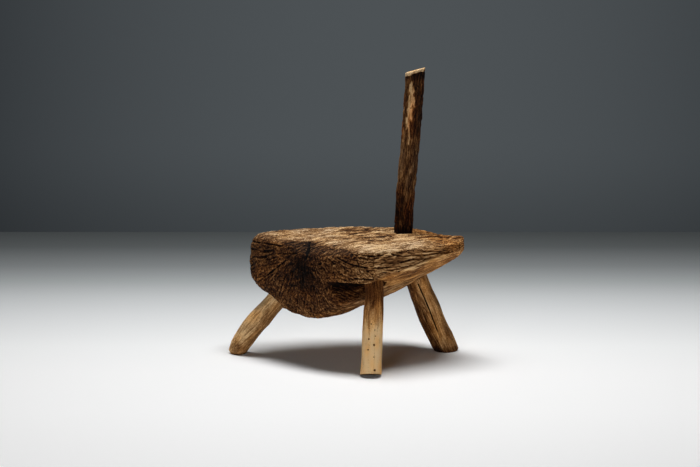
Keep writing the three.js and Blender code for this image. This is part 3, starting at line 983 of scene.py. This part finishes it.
def build_near_leg():
    piece, grain = stick("front_leg_left", "left_leg")
    reshape(piece, NEAR_LEG_PROFILE)
    opened = wear_leg(piece, grain, 61, NEAR_LEG_CRACKS, NEAR_LEG_HOLES)
    co = places(piece)
    toward_view = co @ -np.array(plan_direction(1, 0))
    foot_front = toward_view[co[:, 2] < 0.01].max()
    lifted = np.clip(UNDERCUT_HIGH - (foot_front - toward_view) * UNDERCUT_SLOPE, 0, UNDERCUT_HIGH)
    co[:, 2] = np.maximum(co[:, 2], lifted)
    move(piece, co)
    z = co[:, 2]
    # The upper leg is darker: partly stain, partly painted shadow of the seat.
    stain_and_painted_shadow = smooth(0.090, 0.190, z + 0.030 * noise(sized(grain, 0.010, 0.06), 64))
    # Painted shade under the worn-up front edge of the foot.
    under_foot = smooth(UNDERCUT_HIGH + 0.004, UNDERCUT_HIGH - 0.003, z)
    under_foot = under_foot * smooth(-0.1, -0.5, normals(piece)[:, 2])
    tone = NEAR_LEG_TONE - STAIN_AND_PAINTED_SHADOW * stain_and_painted_shadow + leg_tone(piece, grain, 61, opened)
    tone -= UNDERCUT_PAINTED_SHADE * under_foot
    warmth = 0.66 + 0.30 * stain_and_painted_shadow + 0.30 * noise(sized(grain, 0.015, 0.04), 66)
    finish_piece(
        piece, "front_leg_left", grain, tone, warmth, NEAR_LEG_GRIT, LEG_FLECKS,
        wood_finish("Near leg wood", STICK_GRAIN)
    )


# The far leg
FAR_LEG_PROFILE = (
    (0.0, -0.001, 1.0),
    (0.015, -0.001, 1.11),
    (0.03, -0.002, 1.23),
    (0.05, -0.004, 1.26),
    (0.075, -0.006, 1.24),
    (0.09, -0.004, 1.13),
    (0.105, -0.002, 1.05),
    (0.13, 0.0, 1.0),
)
FAR_LEG_HOLES = (
    ((-0.114, -0.192, 0.114), 0.004),
    ((-0.157, -0.234, 0.058), 0.003),
)
FAR_LEG_DIRT = (-0.160, -0.254, 0.022)
FAR_LEG_TONE = 0.91
FAR_LEG_GRIT = 0.8


def build_far_leg():
    piece, grain = stick("front_leg_right", "right_leg")
    reshape(piece, FAR_LEG_PROFILE)
    opened = wear_leg(piece, grain, 71, (), FAR_LEG_HOLES)
    co = places(piece)
    dirt = smooth(0.03, 0.0, np.linalg.norm(co - FAR_LEG_DIRT, axis=1))
    foot = smooth(0.008, 0.0, co[:, 2])
    # Painted shade on the side that faces right, as the camera sees it.
    shaded_right_side = smooth(0.3, -0.6, normals(piece) @ LEFTWARD)
    tone = FAR_LEG_TONE + leg_tone(piece, grain, 71, opened)
    tone -= 0.30 * dirt + 0.25 * foot + 0.10 * shaded_right_side
    warmth = 0.66 + 0.30 * noise(sized(grain, 0.015, 0.05), 76)
    finish_piece(
        piece, "front_leg_right", grain, tone, warmth, FAR_LEG_GRIT, LEG_FLECKS,
        wood_finish("Far leg wood", STICK_GRAIN)
    )


# The back leg. Its split runs in three stretches, each narrower and shallower than the one above.
SPLIT_TOP = [(0.050, 0.1536, 0.181), (0.0537, 0.1634, 0.157), (0.058, 0.1727, 0.134), (0.062, 0.182, 0.1105)]
SPLIT_MIDDLE = [(0.062, 0.182, 0.1105), (0.0654, 0.1894, 0.087), (0.0693, 0.1992, 0.061)]
SPLIT_END = [(0.0693, 0.1992, 0.061), (0.072, 0.2066, 0.040)]
BACK_LEG_SPLIT = (
    (SPLIT_TOP, 0.0018, 0.0040),
    (SPLIT_MIDDLE, 0.0017, 0.0030),
    (SPLIT_END, 0.0016, 0.0015),
)
BACK_LEG_PROFILE = (
    (0.0, 0.0, 1.01),
    (0.05, -0.002, 1.08),
    (0.12, -0.002, 1.07),
    (0.18, 0.0, 1.0),
)
BACK_LEG_TONE = 0.72
BACK_LEG_GRIT = 0.9


def build_back_leg():
    piece, grain = stick("rear_leg", "back_leg")
    reshape(piece, BACK_LEG_PROFILE)
    opened = wear_leg(piece, grain, 81, BACK_LEG_SPLIT, ())
    foot = smooth(0.020, 0.004, places(piece)[:, 2])
    facing_left = smooth(-0.2, 0.7, normals(piece) @ LEFTWARD)
    tone = BACK_LEG_TONE + 1.2 * leg_tone(piece, grain, 81, opened)
    tone -= 0.25 * foot + 0.16 * facing_left
    warmth = 0.74 + 0.30 * noise(sized(grain, 0.015, 0.05), 86)
    finish_piece(
        piece, "rear_leg", grain, tone, warmth, BACK_LEG_GRIT, LEG_FLECKS,
        wood_finish("Back leg wood", STICK_GRAIN)
    )


# The post. Where its bark has come off: place, and how far that reaches across and along the stick.
BARE_PATCHES = (
    ((-0.0134, 0.1663, 0.672), 0.006, 0.011),
    ((-0.0120, 0.1657, 0.638), 0.010, 0.024),
    ((-0.0150, 0.1640, 0.608), 0.007, 0.018),
    ((-0.0190, 0.1588, 0.582), 0.007, 0.012),
    ((-0.0140, 0.1616, 0.564), 0.0025, 0.012),
    ((-0.0130, 0.1612, 0.544), 0.0025, 0.020),
)
CUT_FACING = np.array([-0.192, -0.211, 0.958])
POST_PROFILE = (
    (0.31, 0.0, 1.0),
    (0.36, 0.003, 1.03),
    (0.45, 0.004, 1.05),
    (0.56, 0.002, 1.02),
    (0.66, 0.0, 1.0),
)
POST_GRAIN = (1.0, 1.0, 0.10)
POST_WARM_TINT = (1.14, 0.82, 0.60, 1)
# Painted shade in fine and broad hollows, and painted highlight on ridges.
POST_HOLLOWS = ((0.0006, -0.8, 0.20), (0.0020, -0.7, 0.14))
BARK_TONE = 0.36
CUT_TONE = 0.92
POST_GRIT = 1.2
POST_FLECKS = 0.5


def bare_wood(co, grain):
    """1 where the bark has come off the post, with ragged edges."""
    ragged = noise(sized(grain, 0.005, 0.012), 54)
    bare = np.zeros(len(co))
    for place, across, length in BARE_PATCHES:
        off = co - place
        away = np.hypot(np.hypot(off[:, 0], off[:, 1]) / across, off[:, 2] / length)
        bare = np.maximum(bare, smooth(1.25, 0.8, away + 0.8 * ragged))
    return bare


def bark_tone(z, grain, facing_left):
    """The bark's tone before the painted shade of its hollows, and its grey band; left and right are as the
    camera sees them.
    """
    grey_band = smooth(0.40, 0.44, z) * smooth(0.56, 0.50, z)
    shaded_upper_right = smooth(0.2, -0.3, facing_left) * smooth(0.56, 0.60, z)
    lower_left = smooth(0.1, 0.7, facing_left) * smooth(0.44, 0.38, z)
    # Painted light: the bark is paler where it faces left.
    tone = BARK_TONE + 0.18 * layered(sized(grain, 0.010, 0.03), 57, 3) + 0.06 * facing_left
    # Painted shade at the post's foot, just above the seat; the bark is also darker low down and near its
    # top.
    tone -= 0.10 * smooth(0.42, 0.33, z) + 0.20 * smooth(0.325, 0.305, z) + 0.18 * smooth(0.683, 0.697, z)
    # Painted shade on the upper right; the lower left is darker too.
    tone -= 0.12 * shaded_upper_right + 0.14 * lower_left
    return tone + 0.05 * grey_band, grey_band


def build_post():
    piece, grain = stick("back_post", "bark_post")
    reshape(piece, POST_PROFILE)
    co, n = places(piece), normals(piece)
    bare = bare_wood(co, grain)
    below_cut = (co @ CUT_FACING).max() - co @ CUT_FACING
    top_cut = smooth(0.0085, 0.0060, below_cut + 0.0035 * noise(co / 0.010, 56))
    furrows = lines(sized(grain, 0.008, 0.035), 52, 0.28)
    scales = flakes(sized(grain, 0.012, 0.03), 53, 3)
    grains = layered(sized(grain, 0.004, 0.008), 55, 2)
    bark = -0.0018 * furrows + 0.0012 * scales + 0.0006 * grains
    swells = noise(sized(grain, 0.02, 0.04), 51)
    depth = 0.0018 * swells + (1 - bare) * (1 - top_cut) * bark - 0.0012 * bare
    move(piece, co + n * depth[:, None])
    tone, grey_band = bark_tone(co[:, 2], grain, n @ LEFTWARD)
    # Painted shade in hollows and painted highlight on ridges.
    tone -= painted_hollow_shade(piece, POST_HOLLOWS)
    tone = tone * (1 - top_cut) + CUT_TONE * top_cut
    tone += bare * (0.46 + 0.22 * noise(sized(grain, 0.004, 0.015), 58))
    warmth = 0.74 + 0.55 * noise(sized(grain, 0.018, 0.06), 59)
    warmth -= 0.1 * bare + 0.4 * top_cut + 0.45 * grey_band
    finish_piece(
        piece, "back_post", grain, tone, warmth, POST_GRIT, POST_FLECKS,
        wood_finish("Post bark", POST_GRAIN, POST_WARM_TINT)
    )


# Stage, light and camera
def build_floor():
    """A pale floor that ends in a straight edge behind the chair, painted darker towards it as painted
    falloff of light.
    """
    plan = (
        (FLOOR_BEHIND, -FLOOR_REACH),
        (FLOOR_BEHIND, FLOOR_REACH),
        (-FLOOR_REACH, FLOOR_REACH),
        (-FLOOR_REACH, -FLOOR_REACH),
    )
    corners = [VIEW_CENTRE + plan_direction(ahead, right) for ahead, right in plan]
    mesh = bpy.data.meshes.new("floor")
    mesh.from_pydata(corners, [], [(3, 2, 1, 0)])
    floor = bpy.data.objects.new("floor", mesh)
    bpy.context.scene.collection.objects.link(floor)
    finish = Finish("Floor", FLOOR_ROUGHNESS, specular=0.0)
    place = finish.add("ShaderNodeNewGeometry", {}, "Position")
    behind = finish.along(place, plan_direction(1, 0))
    share = finish.span(behind, -FLOOR_AHEAD, FLOOR_BEHIND, "LINEAR")
    finish.paint(finish.ramp(share, FLOOR_PAINTED_FALLOFF))
    mesh.materials.append(finish.material)


def area_lamp(name, watts, place):
    """An area lamp at a place given as steps ahead, to the right, and up."""
    ahead, right, up = place
    lamp = bpy.data.lights.new(name, "AREA")
    lamp.energy = watts
    light = bpy.data.objects.new(name, lamp)
    light.location = plan_direction(ahead, right) + Vector((0, 0, up))
    bpy.context.scene.collection.objects.link(light)
    return light


def build_overhead():
    """A large soft lamp over the chair, wider across the view than it is deep."""
    light = area_lamp("overhead", OVERHEAD_WATTS, OVERHEAD_PLACE)
    light.data.shape = "RECTANGLE"
    light.data.size = OVERHEAD_WIDTH
    light.data.size_y = OVERHEAD_DEPTH
    light.rotation_euler = (0, 0, VIEW_AZIMUTH - OVERHEAD_TURN)


def build_front():
    """A weak lamp, low and to the left of the camera, that keeps what faces the camera from going black."""
    light = area_lamp("front", FRONT_WATTS, FRONT_PLACE)
    light.data.size = FRONT_SIZE
    light.data.spread = FRONT_SPREAD
    aim = Vector((0, 0, TOP)) - light.location
    light.rotation_euler = aim.to_track_quat("-Z", "Y").to_euler()


def build_world():
    """A slate wall for the camera and for reflections, a little lighter behind the chair, and faint light."""
    world = bpy.data.worlds.new("Studio")
    bpy.context.scene.world = world
    world.use_nodes = True
    tree = world.node_tree
    tree.nodes.clear()
    nodes = Nodes(tree)
    direction = nodes.add("ShaderNodeTexCoord", {}, "Generated")
    sideways = nodes.along(direction, plan_direction(0, 1))
    upwards = nodes.along(direction, (0, 0, 1))
    off_middle = nodes.maths("SUBTRACT", sideways, WALL_MIDDLE_RIGHT)
    squared = nodes.maths("MULTIPLY", off_middle, off_middle)
    wall = nodes.mix(nodes.span(squared, 0.0, WALL_SIDES_SQUARED, "LINEAR"), WALL_MIDDLE, WALL_SIDES)
    foot = nodes.mix(1.0, wall, WALL_FOOT_SHADE, "MULTIPLY")
    wall = nodes.mix(nodes.span(upwards, WALL_FOOT_LOW, WALL_FOOT_HIGH), foot, wall)
    seen = nodes.add("ShaderNodeLightPath", {}, "Is Camera Ray")
    path = seen.node
    seen = nodes.maths("MAXIMUM", seen, path.outputs["Is Glossy Ray"])
    seen = nodes.maths("MAXIMUM", seen, path.outputs["Is Transmission Ray"])
    glow = nodes.add("ShaderNodeBackground", {"Color": (1, 1, 1, 1), "Strength": WORLD_LIGHT}, "Background")
    backdrop = nodes.add("ShaderNodeBackground", {"Color": wall, "Strength": 1.0}, "Background")
    both = nodes.add("ShaderNodeMixShader", {0: seen, 1: glow, 2: backdrop}, "Shader")
    nodes.add("ShaderNodeOutputWorld", {"Surface": both}, None)


def build_camera():
    data = bpy.data.cameras.new("camera")
    data.lens = LENS_MM
    data.sensor_width = SENSOR_MM
    camera = bpy.data.objects.new("camera", data)
    camera.location = VIEW_CENTRE + plan_direction(-VIEW_DISTANCE, 0) + Vector((0, 0, VIEW_HEIGHT))
    camera.rotation_euler = (math.pi / 2 - VIEW_PITCH, 0, VIEW_AZIMUTH)
    bpy.context.scene.collection.objects.link(camera)
    bpy.context.scene.camera = camera


build_camera()
build_world()
build_floor()
build_overhead()
build_front()
build_seat()
build_near_leg()
build_far_leg()
build_back_leg()
build_post()

bpy.context.scene.view_settings.view_transform = "Standard"
